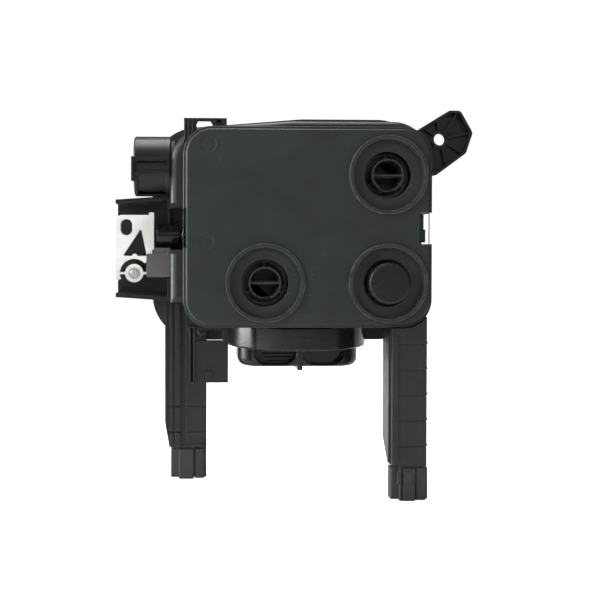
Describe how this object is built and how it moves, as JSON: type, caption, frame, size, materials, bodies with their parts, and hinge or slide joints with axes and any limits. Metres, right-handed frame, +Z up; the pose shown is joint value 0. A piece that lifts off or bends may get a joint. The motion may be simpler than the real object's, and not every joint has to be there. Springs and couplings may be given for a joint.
{
  "type": "diverter valve",
  "caption": "Motorised three-port diverter valve: flat ported lid, side inlet, override lever, twist-off strainer cap, two stand legs and a bolt arm.",
  "frame": {"origin": "centre of the three-port rectangle, on the lid's flat front face and on the selector spindle's axis", "axes": "-Y out of the ports towards the front, +X to the right seen from the front, +Z up along the legs"},
  "size_m": [0.2254, 0.1315, 0.2392],
  "materials": {
    "lid_plastic": "fine matte moulded, lightly scuffed",
    "body_plastic": "matte moulded",
    "casing_plastic": "satin moulded",
    "guide_plastic": "satin moulded",
    "cap_plastic": "satin gloss",
    "service_plastic": "semi-gloss",
    "tube_plastic": "satin moulded",
    "channel_plastic": "matte moulded",
    "strap_plastic": "glossy dark grey",
    "lever_white": "white matte moulded",
    "leg_plastic": "satin moulded",
    "arm_plastic": "satin moulded",
    "foot_rubber": "matte",
    "seal_rubber": "matte",
    "steel": "bright",
    "screw_steel": "black oxide",
    "brass": "satin",
    "gear_nylon": "natural nylon",
    "plunger_plastic": "satin",
    "end_cap_plastic": "matte",
    "board": "solder mask"
  },
  "bodies": {
    "housing": {"arm_bush": "steel", "casing_screws": "screw_steel", "channel_bracket": "channel_plastic", "circuit_board": "board", "clip_plate": "body_plastic", "connector_pins": "brass", "connector_shroud": "casing_plastic", "front_lid": "lid_plastic", "gear_plate": "steel", "harness_clip": "body_plastic", "idler_axle": "steel", "inlet_seal": "seal_rubber", "left_foot": "foot_rubber", "left_leg": "leg_plastic", "leg_screws": "screw_steel", "lever_strap": "strap_plastic", "lid_cheeks": "lid_plastic", "lid_gasket": "seal_rubber", "limit_switches": "end_cap_plastic", "motor_can": "steel", "motor_end_cap": "end_cap_plastic", "mounting_arm": "arm_plastic", "pivot_screw": "screw_steel", "plunger_bush": "brass", "plunger_seal": "seal_rubber", "port_guide_a": "guide_plastic", "port_guide_b": "guide_plastic", "port_guide_c": "guide_plastic", "port_plate": "guide_plastic", "port_seals": "seal_rubber", "rear_casing": "casing_plastic", "right_foot": "foot_rubber", "right_leg": "leg_plastic", "side_inlet": "tube_plastic", "side_latch": "body_plastic", "spindle_bush": "brass", "spindle_seal": "seal_rubber", "strainer_basket": "guide_plastic", "valve_body": "body_plastic"},
    "rotor": {"selector_disc": "guide_plastic", "spindle": "steel", "output_gear": "gear_nylon"},
    "idler": {"idler_gear": "gear_nylon"},
    "motor_rotor": {"motor_shaft": "steel"},
    "lever": {"override_lever": "lever_white"},
    "plunger": {"override_plunger": "plunger_plastic", "plunger_spring": "steel"},
    "cap": {"service_cap": "service_plastic", "cap_oring": "seal_rubber"},
    "blank": {"blanking_cap": "cap_plastic"}
  },
  "joints": [
    {"name": "selector_spin", "type": "hinge", "parent": "housing", "child": "rotor", "pos_m": [0, 0.045, 0], "axis": [0, 1, 0], "continuous": true},
    {"name": "idler_spin", "type": "hinge", "parent": "housing", "child": "idler", "pos_m": [-0.02771, 0.07, 0.016], "axis": [0, 1, 0], "continuous": true},
    {"name": "motor_spin", "type": "hinge", "parent": "housing", "child": "motor_rotor", "pos_m": [-0.05371, 0.08, 0.016], "axis": [0, 1, 0], "continuous": true},
    {"name": "lever_tilt", "type": "hinge", "parent": "housing", "child": "lever", "pos_m": [-0.1183, 0.045, -0.0277], "axis": [0, 1, 0], "range_deg": [0, 8.5]},
    {"name": "plunger_slide", "type": "slide", "parent": "housing", "child": "plunger", "axis": [1, 0, 0], "range_m": [0, 0.005], "deforming": ["plunger_spring"]},
    {"name": "cap_turn", "type": "hinge", "parent": "housing", "child": "cap", "pos_m": [-0.0137, 0.05, -0.07], "axis": [0, 0, 1], "continuous": true},
    {"name": "blank_pull", "type": "slide", "parent": "housing", "child": "blank", "axis": [0, -1, 0], "range_m": [0, 0.02]}
  ],
  "couplings": [
    {"joint": "idler_spin", "follows": "selector_spin", "ratio": -3.5714},
    {"joint": "motor_spin", "follows": "selector_spin", "ratio": 11.905},
    {"joint": "plunger_slide", "follows": "lever_tilt", "m_per_rad": 0.0264}
  ]
}
